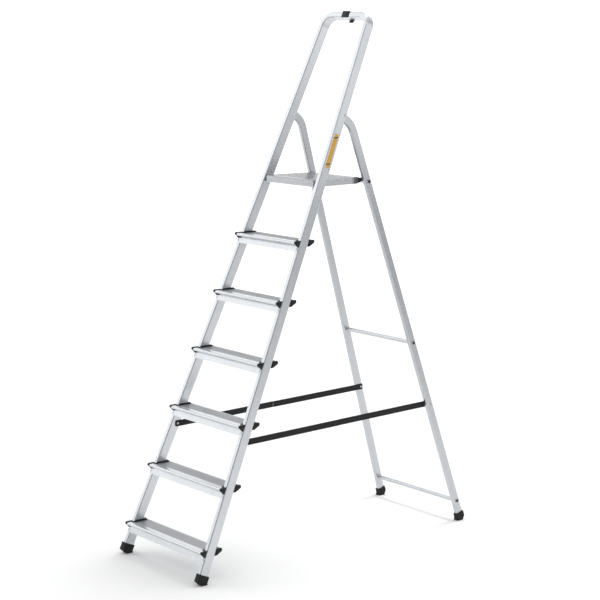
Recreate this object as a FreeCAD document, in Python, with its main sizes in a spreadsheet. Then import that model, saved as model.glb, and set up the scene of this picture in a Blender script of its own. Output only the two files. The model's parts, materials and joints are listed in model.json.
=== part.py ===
import FreeCAD, Part
import math
import os

import Sketcher

# Folding step ladder with six treads, a tilting platform and a guard hoop.
# X runs across the ladder (+X is the climber's right), Y runs backwards, Z is up.
# The origin lies on the floor, in the middle of the footprint. Lengths are millimetres.

TREAD_COUNT = 6
GROOVE_COUNT = 14
DECK_GROOVE_COUNT = 24
SIDES = (("right", 1), ("left", -1))

SIZES = {
    # front frame: one bent rectangular tube
    "stile_angle": 65.907,
    "side_taper": 3.028,
    "base_half": 265.7,
    "frame_length": 2331.5,
    "stile_width": 21,
    "stile_depth": 40,
    "stile_wall": 1.2,
    "stile_corner": 4,
    "hoop_bend": 50.5,
    "stile_lift": 22,
    # pivot between the front frame and the rear legs
    "pivot_height": 1726,
    "pivot_inset": 7,
    "pin_radius": 4,
    "running_gap": 0.05,
    "slot_above": 13,
    "slot_below": 66,
    # rear legs
    "leg_angle": 72.217,
    "leg_play": 1.6,
    "leg_depth": 32,
    "leg_wall": 1.5,
    "leg_corner": 4,
    "leg_lift": 14,
    "pivot_cover": 39.6,
    "neck_drop": 74.2,
    "neck_bend": 84,
    "neck_turn": 40,
    "neck_length": 24,
    "eye_radius": 8,
    # cross tubes of the rear frame
    "brace_radius": 8.5,
    "brace_wall": 1.5,
    "brace_seat": 13,
    "brace_flare": 9.7,
    "brace_collar": 1,
    "rod_height": 1461.6,
    "upper_brace_height": 788.4,
    "lower_brace_height": 87.6,
    # treads
    "tread_pitch": 225,
    "first_tread": 126.2,
    "tread_depth": 67.4,
    "tread_plate": 2,
    "nose_reach": 26,
    "nose_radius": 6,
    "skirt_drop": 39,
    "skirt_thick": 2.2,
    "skirt_inset": 1,
    "box_front": 34,
    "box_height": 23,
    "box_sole": 11,
    "box_rear_height": 9,
    "groove_start": 4,
    "groove_width": 1.8,
    "groove_depth": 0.7,
    "groove_run": 52,
    "seat_gap": 0.1,
    # tread end caps
    "cap_rim": 6,
    "cap_proud": 2.6,
    "cap_web": 2.2,
    "cap_drop": 22,
    "cap_rise": 5.5,
    # feet
    "foot_wall": 2.5,
    "foot_top": 50,
    "foot_heel": 18,
    "foot_sole_front": 24,
    "foot_sole_rear": 51,
    "foot_bulge": 4,
    "rear_foot_top": 42.5,
    "rear_heel_back": 12.5,
    "toe_reach": 10,
    # platform
    "hinge_up": 1612.6,
    "hinge_in": 15,
    "platform_rise": 13,
    "platform_drop": 13.5,
    "platform_lip": 13,
    "platform_gap": 2.2,
    "platform_skin": 2.2,
    "side_panel": 2,
    "bracket_width": 10,
    "bracket_reach": 22,
    "corner_depth": 28,
    "corner_gap": 32,
    "claw_gap": 0.5,
    "claw_thick": 4.4,
    "claw_drop": 5.6,
    "claw_lead_angle": 45,
    "claw_mouth": 10.6,
    "deck_groove_width": 3,
    "deck_groove_depth": 1,
    "deck_groove_end": 19.5,
    "deck_rivet_front": 77,
    "deck_rivet_rear": 30,
    # straps
    "strap_width": 25,
    "strap_thick": 1.5,
    "strap_gap": 0.3,
    "strap_front_up": 563.2,
    "strap_front_in": 27.3,
    "strap_rear_height": 522,
    "strap_rear_in": 12.3,
    "strap_lap": 9.5,
    # fasteners and small parts
    "rivet_radius": 2.4,
    "rivet_head": 4.6,
    "rivet_rise": 1.4,
    "rivet_crown": 0.55,
    "rivet_dome": 0.9,
    "pin_head": 6,
    "pin_rise": 2,
    "skirt_rivet_drop": 30,
    "skirt_rivet_inset": 8,
    "hook_width": 40,
    "hook_tab_width": 24,
    "hook_thick": 2.4,
    "hook_drop": 9,
    "label_length": 140,
    "label_width": 20,
    "label_thick": 0.4,
    "label_up": 1752,
}

doc = FreeCAD.newDocument("step_ladder")
sheet = doc.addObject("Spreadsheet::Sheet", "Sizes")
for row, (alias, number) in enumerate(SIZES.items(), start=1):
    sheet.set(f"A{row}", alias)
    sheet.set(f"B{row}", str(number))
    sheet.setAlias(f"B{row}", alias)
doc.recompute()


# ---------------------------------------------------------------- sizes as expressions

class Size:
    """A number together with the spreadsheet expression that it comes from."""

    def __init__(self, text, value):
        self.text = text
        self.value = float(value)

    def __add__(self, other):
        other = as_size(other)
        return Size(f"({self.text} + {other.text})", self.value + other.value)

    def __sub__(self, other):
        other = as_size(other)
        return Size(f"({self.text} - {other.text})", self.value - other.value)

    def __mul__(self, other):
        other = as_size(other)
        return Size(f"({self.text} * {other.text})", self.value * other.value)

    def __truediv__(self, other):
        other = as_size(other)
        return Size(f"({self.text} / {other.text})", self.value / other.value)

    def __radd__(self, other):
        return as_size(other) + self

    def __rsub__(self, other):
        return as_size(other) - self

    def __rmul__(self, other):
        return as_size(other) * self

    def __rtruediv__(self, other):
        return as_size(other) / self

    def __neg__(self):
        return Size(f"(0 - {self.text})", -self.value)


def as_size(number):
    return number if isinstance(number, Size) else Size(f"({number})", number)


def cell(alias):
    return Size(f"Sizes.{alias}", sheet.get(alias))


def sine(angle):
    return Size(f"sin({angle.text} * 1 deg)", math.sin(math.radians(angle.value)))


def cosine(angle):
    return Size(f"cos({angle.text} * 1 deg)", math.cos(math.radians(angle.value)))


def tangent(angle):
    return Size(f"tan({angle.text} * 1 deg)", math.tan(math.radians(angle.value)))


# ---------------------------------------------------------------- drawing helpers

def new_body(label):
    body = doc.addObject("PartDesign::Body", label)
    body.Label = label
    return body


def plane_of(body, plane):
    for feature in body.Origin.OriginFeatures:
        if feature.Role == plane + "_Plane":
            return feature
    raise ValueError(plane)


def new_sketch(body, plane, name, shift=0):
    """Sketch on one of the body's own planes, moved by shift along the plane's normal."""
    sketch = body.newObject("Sketcher::SketchObject", name)
    sketch.AttachmentSupport = [(plane_of(body, plane), "")]
    sketch.MapMode = "FlatFace"
    sketch.setExpression("AttachmentOffset.Base.z", as_size(shift).text)
    return sketch


def pin_point(sketch, geometry, place, corner):
    """Hold one point of a sketch at corner with two dimensions bound to the sheet."""
    for kind, number in zip(("DistanceX", "DistanceY"), corner):
        number = as_size(number)
        rule = Sketcher.Constraint(kind, -1, 1, geometry, place, number.value)
        index = sketch.addConstraint(rule)
        name = f"{kind}_{geometry}_{place}"
        sketch.renameConstraint(index, name)
        sketch.setExpression(f"Constraints.{name}", number.text)


def set_radius(sketch, geometry, radius):
    radius = as_size(radius)
    index = sketch.addConstraint(Sketcher.Constraint("Radius", geometry, radius.value))
    name = f"Radius_{geometry}"
    sketch.renameConstraint(index, name)
    sketch.setExpression(f"Constraints.{name}", radius.text)


def flat_point(corner):
    return FreeCAD.Vector(as_size(corner[0]).value, as_size(corner[1]).value, 0)


def arc_between(start, finish, radius):
    """The shorter arc, always drawn anticlockwise.

    A positive radius has its centre on the left of the travel from start to finish.
    """
    chord = finish - start
    half = chord.Length / 2
    rise = abs(radius) - math.sqrt(max(radius * radius - half * half, 0))
    right = FreeCAD.Vector(chord.y, -chord.x, 0).normalize()
    middle = (start + finish) / 2 + right * math.copysign(rise, radius)
    return Part.Arc(finish, middle, start) if radius < 0 else Part.Arc(start, middle, finish)


def draw(sketch, corners, bends=None, closed=True):
    """Lines through corners; bends gives the radius of the arc that leaves a corner."""
    bends = bends or {}
    count = len(corners)
    pieces = []
    for number in range(count if closed else count - 1):
        start = flat_point(corners[number])
        finish = flat_point(corners[(number + 1) % count])
        if number in bends:
            bend = as_size(bends[number])
            backwards = bend.value < 0
            index = sketch.addGeometry(arc_between(start, finish, bend.value), False)
            set_radius(sketch, index, -bend if backwards else bend)
        else:
            backwards = False
            index = sketch.addGeometry(Part.LineSegment(start, finish), False)
        pieces.append((index, 2, 1) if backwards else (index, 1, 2))
    for number, (index, first, _) in enumerate(pieces):
        pin_point(sketch, index, first, corners[number])
        if closed or number:
            before = pieces[number - 1]
            sketch.addConstraint(Sketcher.Constraint("Coincident", before[0], before[2], index, first))
    if not closed:
        index, _, last = pieces[-1]
        pin_point(sketch, index, last, corners[-1])


def draw_circle(sketch, centre, radius):
    radius = as_size(radius)
    circle = Part.Circle(flat_point(centre), FreeCAD.Vector(0, 0, 1), radius.value)
    index = sketch.addGeometry(circle, False)
    pin_point(sketch, index, 3, centre)
    set_radius(sketch, index, radius)


def draw_rounded(sketch, low, high, radius):
    """A rectangle from low to high with rounded corners."""
    left, bottom = as_size(low[0]), as_size(low[1])
    right, top = as_size(high[0]), as_size(high[1])
    corners = [
        (left + radius, bottom), (right - radius, bottom),
        (right, bottom + radius), (right, top - radius),
        (right - radius, top), (left + radius, top),
        (left, top - radius), (left, bottom + radius),
    ]
    draw(sketch, corners, {1: radius, 3: radius, 5: radius, 7: radius})


def add_feature(body, kind, name, sketch, length, symmetric=False, reverse=False):
    feature = body.newObject(kind, name)
    feature.Profile = sketch
    feature.setExpression("Length", as_size(length).text)
    if symmetric:
        feature.SideType = "Symmetric"
    feature.Reversed = reverse
    return feature


def pad(body, name, sketch, length, symmetric=False, reverse=False):
    return add_feature(body, "PartDesign::Pad", name, sketch, length, symmetric, reverse)


def pocket(body, name, sketch, length, symmetric=False, reverse=False):
    """Pocket that is checked to remove material."""
    doc.recompute()
    before = body.Shape.Volume
    feature = add_feature(body, "PartDesign::Pocket", name, sketch, length, symmetric, reverse)
    doc.recompute()
    if body.Shape.Volume > before - 1e-3:
        raise RuntimeError(f"{body.Label}: {name} removes nothing")
    return feature


def mirrored(source, label):
    """The same piece on the other side of the ladder's middle plane."""
    copy = doc.addObject("Part::Mirroring", label)
    copy.Source = source
    copy.Normal = FreeCAD.Vector(1, 0, 0)
    copy.Label = label
    return copy


def group(label, pieces):
    compound = doc.addObject("Part::Compound", label)
    compound.Links = pieces
    compound.Label = label
    return compound


def cut(label, base, tools):
    """Base with every tool removed."""
    tool = tools[0]
    if len(tools) > 1:
        tool = doc.addObject("Part::MultiFuse", label + "_tools")
        tool.Shapes = tools
    result = doc.addObject("Part::Cut", label)
    result.Base = base
    result.Tool = tool
    result.Label = label
    return result


def cross_cylinder(name, radius, half_length, spot):
    """Cylinder along X through spot (y, z), used as a drill for holes."""
    drill = doc.addObject("Part::Cylinder", name)
    drill.setExpression("Radius", as_size(radius).text)
    drill.setExpression("Height", (as_size(half_length) * 2).text)
    turn = FreeCAD.Rotation(FreeCAD.Vector(0, 1, 0), 90)
    start = FreeCAD.Vector(-as_size(half_length).value, spot[0].value, spot[1].value)
    drill.Placement = FreeCAD.Placement(start, turn)
    return drill


NODES = []


def keep(*pieces):
    NODES.extend(pieces)


# ---------------------------------------------------------------- layout

stile_angle = cell("stile_angle")
leg_angle = cell("leg_angle")
side_taper = cell("side_taper")
stile_width = cell("stile_width")
stile_depth = cell("stile_depth")
stile_wall = cell("stile_wall")
leg_width = stile_width - stile_wall * 2 - cell("leg_play")
leg_depth = cell("leg_depth")
seat_gap = cell("seat_gap")

slope_run = 1 / tangent(stile_angle)
stile_run = stile_depth / sine(stile_angle)
leg_run = 1 / tangent(leg_angle)
taper = tangent(side_taper)


def stile_outer(along):
    """Half width over the stiles at a distance along the slope."""
    return cell("base_half") - along * taper


def outer_at_height(height):
    """Half width over the stiles where their front face is at a height."""
    return stile_outer(height / sine(stile_angle))


# pivot, seen in the front frame's own axes: depth behind the front face, way up the slope
pivot_in = stile_depth - cell("pivot_inset")
pivot_up = (cell("pivot_height") + pivot_in * cosine(stile_angle)) / sine(stile_angle)
pivot_x = stile_outer(pivot_up) - stile_width / 2

# depths on the floor, measured from where the front face meets it
pivot_back = pivot_in * sine(stile_angle) + pivot_up * cosine(stile_angle)
leg_back = pivot_back + cell("pivot_cover") / sine(leg_angle) + cell("pivot_height") * leg_run
front_end = cell("foot_heel") * slope_run - cell("foot_wall") / sine(stile_angle)
rear_end = leg_back - cell("foot_heel") * leg_run + cell("foot_wall") / sine(leg_angle)
front_y = -(front_end + rear_end) / 2

pivot_y = front_y + pivot_back
pivot_z = cell("pivot_height")


def leg_rear_y(height):
    """Y of the rear legs' rear face at a height."""
    return front_y + leg_back - height * leg_run


def leg_middle_x(spot):
    """Distance of a rear leg's middle plane from the ladder's middle at spot (y, z)."""
    down = (pivot_z - spot[1]) * sine(leg_angle) + (spot[0] - pivot_y) * cosine(leg_angle)
    return pivot_x + down * taper


def front_placement(tilt=0, spot=(0, 0, 0)):
    """Axes of the front frame: local y goes in through the stile, local z up the slope."""
    lean = FreeCAD.Rotation(FreeCAD.Vector(1, 0, 0), stile_angle.value - 90)
    tip = FreeCAD.Rotation(FreeCAD.Vector(0, 1, 0), tilt)
    local = FreeCAD.Vector(*[as_size(number).value for number in spot])
    place = FreeCAD.Placement(FreeCAD.Vector(0, front_y.value, 0), lean)
    return place.multiply(FreeCAD.Placement(local, tip))


def leg_placement():
    """Axes of the right rear leg: origin on the pivot, local z up the leg."""
    lean = FreeCAD.Rotation(FreeCAD.Vector(1, 0, 0), 90 - leg_angle.value)
    tip = FreeCAD.Rotation(FreeCAD.Vector(0, 1, 0), -side_taper.value)
    spot = FreeCAD.Vector(pivot_x.value, pivot_y.value, pivot_z.value)
    return FreeCAD.Placement(spot, lean.multiply(tip))


# ---------------------------------------------------------------- front frame tube

def make_front_tube():
    """Inverted U of rectangular tube: two stiles and the guard hoop."""
    body = new_body("front_frame_tube")
    bend = cell("hoop_bend")
    middle_x = cell("base_half") - stile_width / 2
    top = cell("frame_length") - stile_width / 2
    low = cell("stile_lift")
    tangent_length = bend * tangent(45 - side_taper / 2)
    corner_x = middle_x - top * taper
    bar_x = corner_x - tangent_length
    side_x = corner_x + tangent_length * sine(side_taper)
    side_top = top - tangent_length * cosine(side_taper)
    low_x = middle_x - low * taper

    path = new_sketch(body, "XZ", "hoop_path", -stile_depth / 2)
    corners = [(low_x, low), (side_x, side_top), (bar_x, top),
               (-bar_x, top), (-side_x, side_top), (-low_x, low)]
    draw(path, corners, {1: bend, 3: bend}, closed=False)

    section = new_sketch(body, "XY", "stile_section", low)
    inner = cell("stile_corner") - stile_wall
    draw_rounded(section, (low_x - stile_width / 2, 0), (low_x + stile_width / 2, stile_depth),
                 cell("stile_corner"))
    draw_rounded(section, (low_x - stile_width / 2 + stile_wall, stile_wall),
                 (low_x + stile_width / 2 - stile_wall, stile_depth - stile_wall), inner)
    tube = body.newObject("PartDesign::AdditivePipe", "bent_tube")
    tube.Profile = section
    tube.Spine = (path, [f"Edge{number}" for number in range(1, len(corners))])
    tube.Mode = "Standard"

    half_slot = stile_width / 2 - stile_wall
    slots = new_sketch(body, "XZ", "leg_slots", -stile_depth)
    for _, side in SIDES:
        outline = []
        for up, edge in ((-cell("slot_below"), -half_slot), (-cell("slot_below"), half_slot),
                         (cell("slot_above"), half_slot), (cell("slot_above"), -half_slot)):
            middle = pivot_x - up * taper
            outline.append(((middle + edge) * side, pivot_up + up))
        draw(slots, outline)
    pocket(body, "leg_slot_cut", slots, cell("stile_corner") * 2, symmetric=True)

    holes = new_sketch(body, "YZ", "pivot_holes")
    draw_circle(holes, (pivot_in, pivot_up), cell("pin_radius"))
    pocket(body, "pivot_hole_cut", holes, cell("base_half") * 3, symmetric=True)

    inner_reach = stile_outer(cell("hinge_up")) - stile_width / 2
    pins = new_sketch(body, "YZ", "inner_web_holes")
    draw_circle(pins, (cell("hinge_in"), cell("hinge_up")), cell("pin_radius"))
    pocket(body, "hinge_hole_cut", pins, inner_reach * 2, symmetric=True)
    ties = new_sketch(body, "YZ", "strap_holes")
    draw_circle(ties, (cell("strap_front_in"), cell("strap_front_up")), cell("rivet_radius"))
    reach = stile_outer(cell("strap_front_up")) - stile_width / 2
    pocket(body, "strap_hole_cut", ties, reach * 2, symmetric=True)

    body.Placement = front_placement()
    keep(body)


# ---------------------------------------------------------------- treads and caps

def tread_top(number):
    return cell("first_tread") + cell("tread_pitch") * (number - 1)


def tread_placement(number):
    """Level axes with the origin where the stile's front face meets the tread's top."""
    height = tread_top(number)
    depth = front_y + height * slope_run
    return FreeCAD.Placement(FreeCAD.Vector(0, depth.value, height.value), FreeCAD.Rotation())


def notch_x(number):
    """Where the tread stops beside the stile, leaving room for the cap's web."""
    narrowing = (stile_run * cosine(stile_angle) + cell("cap_rise")) * taper
    inside = outer_at_height(tread_top(number)) - stile_width - narrowing
    return inside - cell("cap_web") - 3 * seat_gap


def stile_zone(low, high):
    """Side outline of the space that the stile takes, between two levels of the tread."""
    rear = stile_run + 3 * seat_gap
    return [(low * slope_run - seat_gap, low), (low * slope_run + rear, low),
            (high * slope_run + rear, high), (high * slope_run - seat_gap, high)]


def make_tread(number):
    """Extruded tread: bull nose, riveted skirt, grooved top and a box along the back."""
    body = new_body(f"tread_{number}_bar")
    plate = cell("tread_plate")
    nose = cell("nose_radius")
    reach = cell("nose_reach")
    skirt = cell("skirt_thick") / sine(stile_angle)
    drop = cell("skirt_drop")
    box = cell("box_front")
    height = cell("box_height")
    depth = cell("tread_depth")
    sole = box + cell("box_sole")
    heel = cell("box_rear_height")
    soft = plate / 2

    section = new_sketch(body, "YZ", f"tread_section_{number}")
    draw(section, [
        (nose - reach, 0), (-reach, -nose), (nose - reach, -2 * nose),
        (-2 * nose * slope_run - skirt - seat_gap, -2 * nose),
        (-drop * slope_run - skirt - seat_gap, -drop),
        (-drop * slope_run - seat_gap, -drop),
        (-plate * slope_run - seat_gap, -plate),
        (box, -plate), (box, -height), (sole, -height),
        (depth, -heel), (depth, -soft), (depth - soft, 0),
    ], {0: nose, 1: nose, 11: soft})
    inner = nose - plate
    draw(section, [
        (nose - reach, -plate), (nose - reach - inner, -nose), (nose - reach, -nose - inner),
        ((plate - 2 * nose) * slope_run - skirt - seat_gap, plate - 2 * nose),
        (-plate * slope_run - skirt - seat_gap, -plate),
    ], {0: inner, 1: inner})
    draw(section, [
        (box + plate, -plate), (box + plate, plate - height), (sole - plate / 2, plate - height),
        (depth - plate, plate / 2 - heel), (depth - plate, -plate),
    ])
    top = tread_top(number)
    half = outer_at_height(top)
    pad(body, f"tread_pad_{number}", section, (half - cell("skirt_inset")) * 2, symmetric=True)

    start = cell("groove_start")
    groove = new_sketch(body, "YZ", f"groove_{number}")
    draw(groove, [(start, -cell("groove_depth")), (start + cell("groove_width"), -cell("groove_depth")),
                  (start + cell("groove_width"), 1), (start, 1)])
    cutter = pocket(body, f"groove_cut_{number}", groove, half * 2, symmetric=True)
    pattern = body.newObject("PartDesign::LinearPattern", f"grooves_{number}")
    pattern.Originals = [cutter]
    pattern.Direction = (groove, ["H_Axis"])
    pattern.setExpression("Length", cell("groove_run").text)
    pattern.Occurrences = GROOVE_COUNT
    body.Tip = pattern
    doc.recompute()

    for name, side in SIDES:
        notch = new_sketch(body, "YZ", f"notch_{name}_{number}", notch_x(number) * side)
        draw(notch, stile_zone(-height - plate, as_size(1)))
        pocket(body, f"notch_cut_{name}_{number}", notch, stile_width * 2, reverse=side > 0)
        rim = new_sketch(body, "YZ", f"rim_{name}_{number}", (half - cell("cap_rim")) * side)
        draw(rim, [(-2 * reach, -height - seat_gap), (depth * 2, -height - seat_gap),
                   (depth * 2, 1), (-2 * reach, 1)])
        pocket(body, f"rim_cut_{name}_{number}", rim, stile_width, reverse=side > 0)
    body.Placement = tread_placement(number)
    keep(cut(f"tread_{number}", body, skirt_drills(number)))


def skirt_rivet_place(number, side):
    """Seat of a skirt rivet on the skirt's front, with the rivet's head along local z."""
    up = (tread_top(number) - cell("skirt_rivet_drop")) / sine(stile_angle)
    across = stile_outer(up) - cell("skirt_rivet_inset")
    seat = -cell("skirt_thick") - seat_gap
    turn = FreeCAD.Rotation(FreeCAD.Vector(1, 0, 0), 90)
    frame = front_placement(0, (across * side, seat, up))
    return frame.multiply(FreeCAD.Placement(FreeCAD.Vector(), turn))


def skirt_drills(number):
    """Drills for the two rivet holes in a tread's skirt."""
    drills = []
    for name, side in SIDES:
        drill = doc.addObject("Part::Cylinder", f"skirt_drill_{number}_{name}")
        drill.setExpression("Radius", cell("rivet_radius").text)
        drill.setExpression("Height", (cell("skirt_thick") * 4).text)
        back = FreeCAD.Vector(0, 0, -cell("skirt_thick").value * 2)
        place = skirt_rivet_place(number, side)
        drill.Placement = place.multiply(FreeCAD.Placement(back, FreeCAD.Rotation()))
        drills.append(drill)
    return drills


def make_cap(number):
    """Moulded end cap: front rim, web beside the stile, rear rim and the strip joining them."""
    body = new_body(f"tread_{number}_cap_right")
    top = tread_top(number)
    half = outer_at_height(top)
    proud = cell("cap_proud")
    drop = cell("cap_drop")
    rise = cell("cap_rise")
    reach = cell("nose_reach") + proud
    nose = cell("nose_radius")
    depth = cell("tread_depth")
    behind = stile_run + 4 * seat_gap
    inner = notch_x(number) + seat_gap

    web = new_sketch(body, "YZ", f"web_{number}", inner)
    low = -cell("box_height")
    draw(web, [(low * slope_run, low), (low * slope_run + behind - seat_gap * 2, low),
               (behind - seat_gap * 2, 0), (behind - seat_gap * 2, seat_gap), (depth - rise, seat_gap),
               (depth - rise * 2, rise), (rise * slope_run, rise)])
    pad(body, f"web_pad_{number}", web, cell("cap_web"))

    tie = new_sketch(body, "YZ", f"tie_{number}", inner)
    lift = seat_gap + rise / 3
    draw(tie, [(behind + 1, seat_gap), (depth - rise, seat_gap), (depth - rise, lift), (behind + 1, lift)])
    pad(body, f"tie_pad_{number}", tie, half - inner)

    rear = new_sketch(body, "YZ", f"rear_rim_{number}", half - cell("cap_rim") + seat_gap)
    sole = cell("box_front") + cell("box_sole")
    heel = cell("box_rear_height")
    draw(rear, [(low * slope_run + behind, low), (sole, low), (depth, -heel - proud / 2),
                (depth + proud / 2, -heel), (depth + proud / 2, 0), (depth - proud / 2, lift),
                (lift * slope_run + behind, lift)])
    pad(body, f"rear_rim_pad_{number}", rear, cell("cap_rim") - seat_gap)

    front = new_sketch(body, "YZ", f"front_rim_{number}", half - cell("cap_rim") + seat_gap)
    draw(front, [(-drop * slope_run - seat_gap, -drop), (proud * slope_run - seat_gap, proud),
                 (nose - reach, proud), (-reach, proud - nose), (-reach, -nose),
                 (-drop * slope_run - cell("nose_radius") / 2, -drop)], {2: nose})
    pad(body, f"front_rim_pad_{number}", front, cell("cap_rim") - seat_gap)
    arm = new_sketch(body, "YZ", f"arm_{number}", inner)
    thick = proud - seat_gap
    draw(arm, [(-thick - 3 * seat_gap, seat_gap), (rise * slope_run, seat_gap),
               (rise * slope_run + thick, proud), (-thick - 3 * seat_gap, proud)])
    pad(body, f"arm_pad_{number}", arm, cell("cap_web"))
    bridge = new_sketch(body, "YZ", f"bridge_{number}", inner)
    draw(bridge, [(-thick * 2 - seat_gap, seat_gap), (-seat_gap * 2, seat_gap),
                  (-seat_gap * 2, proud), (-thick * 2 - seat_gap, proud)])
    pad(body, f"bridge_pad_{number}", bridge, half - inner)
    body.Placement = tread_placement(number)
    keep(body, mirrored(body, f"tread_{number}_cap_left"))


# ---------------------------------------------------------------- rivets and pins

def make_rivet(name, radius, grip, head, rise):
    """Domed rivet: shank along -Z below the seat, head above it."""
    body = new_body(name)
    shank = new_sketch(body, "XZ", name + "_profile")
    brim = rise / 3
    crown = head * cell("rivet_crown")
    draw(shank, [(0, -grip), (radius, -grip), (radius, 0), (head, 0), (head, brim),
                 (crown, rise), (0, rise)], {4: head * cell("rivet_dome")})
    turned = body.newObject("PartDesign::Revolution", name + "_turned")
    turned.Profile = shank
    turned.ReferenceAxis = (shank, ["V_Axis"])
    turned.Angle = 360
    return body


def rivet_along_x(name, spot, side, radius, grip, head, rise):
    """Rivet whose head faces away from the middle (side 1 is right, -1 is left)."""
    body = make_rivet(name, radius, grip, head, rise)
    turn = FreeCAD.Rotation(FreeCAD.Vector(0, 1, 0), 90 * side)
    place = FreeCAD.Vector(*[as_size(number).value for number in spot])
    body.Placement = FreeCAD.Placement(place, turn)
    return body


def make_tread_rivets():
    """Two rivets through each skirt into the stiles' front faces."""
    pieces = []
    for number in range(1, TREAD_COUNT + 1):
        for name, side in SIDES:
            body = make_rivet(f"tread_rivet_{number}_{name}", cell("rivet_radius"),
                              cell("skirt_thick"), cell("rivet_head"), cell("rivet_rise"))
            body.Placement = skirt_rivet_place(number, side)
            pieces.append(body)
    keep(group("tread_rivets", pieces))


def make_pivot_pins():
    """The two pins that the rear legs turn on, headed on both sides of each stile."""
    pieces = []
    for name, side in SIDES:
        grip = stile_width + seat_gap * 2
        outer = pivot_x + stile_width / 2 + seat_gap * 4
        shaft = rivet_along_x(f"pivot_pin_{name}", (outer * side, pivot_y, pivot_z), side,
                              cell("pin_radius"), grip, cell("pin_head"), cell("pin_rise"))
        pieces.append(shaft)
    keep(group("pivot_pins", pieces))


def front_point(depth_in, way_up):
    """Y and Z of a point given in the front frame's own axes."""
    across = front_y + depth_in * sine(stile_angle) + way_up * cosine(stile_angle)
    return across, way_up * sine(stile_angle) - depth_in * cosine(stile_angle)


def stile_inner(way_up):
    return stile_outer(way_up) - stile_width


# ---------------------------------------------------------------- feet

def make_front_foot():
    """Moulded socket foot on the right stile, with a level sole."""
    block = new_body("front_foot_block")
    wall = cell("foot_wall")
    sine_a, cosine_a = sine(stile_angle), cosine(stile_angle)
    low_front = cell("foot_sole_front")
    low_rear = cell("foot_sole_rear")
    heel = (cell("foot_heel") - wall * cosine_a) / sine_a
    middle = cell("base_half") - stile_width / 2
    width = stile_width + wall * 2
    outline = new_sketch(block, "YZ", "front_foot_outline", middle - width / 2 - wall / 2)
    draw(outline, [(-wall, cell("foot_top")), (-wall, heel),
                   (low_front * sine_a, low_front * cosine_a), (low_rear * sine_a, low_rear * cosine_a),
                   (stile_depth + wall, low_rear * cosine_a + wall * 2),
                   (stile_depth + wall, cell("foot_top"))])
    pad(block, "front_foot_pad", outline, width + wall / 2)
    block.Placement = front_placement()
    socket = doc.addObject("Part::Box", "front_foot_socket")
    socket.setExpression("Length", (stile_width + seat_gap).text)
    socket.setExpression("Width", (stile_depth + seat_gap).text)
    socket.setExpression("Height", cell("foot_top").text)
    low = cell("stile_lift") - stile_width * taper - 2 * seat_gap
    corner = (middle - low * taper - (stile_width + seat_gap) / 2, -seat_gap / 2, low)
    socket.Placement = front_placement(-side_taper.value, corner)
    foot = cut("front_foot_right", block, [socket])
    keep(foot, mirrored(foot, "front_foot_left"))


def make_rear_foot():
    """Moulded socket foot on the right rear leg, with a level sole and a short toe."""
    block = new_body("rear_foot_block")
    wall = cell("foot_wall")
    sine_b, cosine_b = sine(leg_angle), cosine(leg_angle)
    heel = (cell("foot_heel") + wall * cosine_b) / sine_b
    toe = leg_depth / sine_b + cell("toe_reach")
    back = cell("rear_heel_back")
    top = cell("rear_foot_top")
    width = leg_width + wall * 2
    middle = leg_middle_x((leg_rear_y(0), as_size(0)))
    outline = new_sketch(block, "YZ", "rear_foot_outline", middle - width / 2 - wall)
    draw(outline, [(wall, top), (-leg_depth - wall, top),
                   (-leg_depth - cell("foot_bulge"), toe * cosine_b + wall * 3),
                   (-toe * sine_b, toe * cosine_b + wall), (-(toe - wall) * sine_b, (toe - wall) * cosine_b),
                   (-back * sine_b, back * cosine_b), (wall, heel)])
    pad(block, "rear_foot_pad", outline, width + wall)
    lean = FreeCAD.Rotation(FreeCAD.Vector(1, 0, 0), 90 - leg_angle.value)
    block.Placement = FreeCAD.Placement(FreeCAD.Vector(0, leg_rear_y(as_size(0)).value, 0), lean)
    socket = doc.addObject("Part::Box", "rear_foot_socket")
    socket.setExpression("Length", (leg_width + seat_gap).text)
    socket.setExpression("Width", (leg_depth + seat_gap).text)
    socket.setExpression("Height", cell("foot_top").text)
    place = leg_placement()
    half = (leg_width + seat_gap).value / 2
    front = (cell("pivot_cover") - leg_depth - seat_gap / 2).value
    corner = FreeCAD.Vector(-half, front, -leg_length().value - seat_gap.value)
    socket.Placement = place.multiply(FreeCAD.Placement(corner, FreeCAD.Rotation()))
    foot = cut("rear_foot_right", block, [socket])
    keep(foot, mirrored(foot, "rear_foot_left"))


# ---------------------------------------------------------------- rear frame

def leg_length():
    """Distance down the leg from the pivot to the end of its tube."""
    offset = cell("pivot_cover") * cosine(leg_angle)
    full = (pivot_z + offset) / (sine(leg_angle) * cosine(side_taper))
    return full - cell("leg_lift")


def brace_spot(height):
    seat = cell("brace_seat") / sine(leg_angle)
    return leg_rear_y(height) - seat, height


def leg_drills():
    """Pin and tube holes through both rear legs."""
    reach = cell("base_half")
    gap = cell("running_gap")
    drills = [cross_cylinder("pivot_drill", cell("pin_radius") + gap, reach, (pivot_y, pivot_z))]
    for name in ("rod_height", "upper_brace_height", "lower_brace_height"):
        spot = brace_spot(cell(name))
        drills.append(cross_cylinder(name + "_drill", cell("brace_radius"), reach, spot))
    height = cell("strap_rear_height")
    spot = (leg_rear_y(height) - cell("strap_rear_in") / sine(leg_angle), height)
    drills.append(cross_cylinder("strap_drill", cell("rivet_radius"), reach, spot))
    return drills


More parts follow.
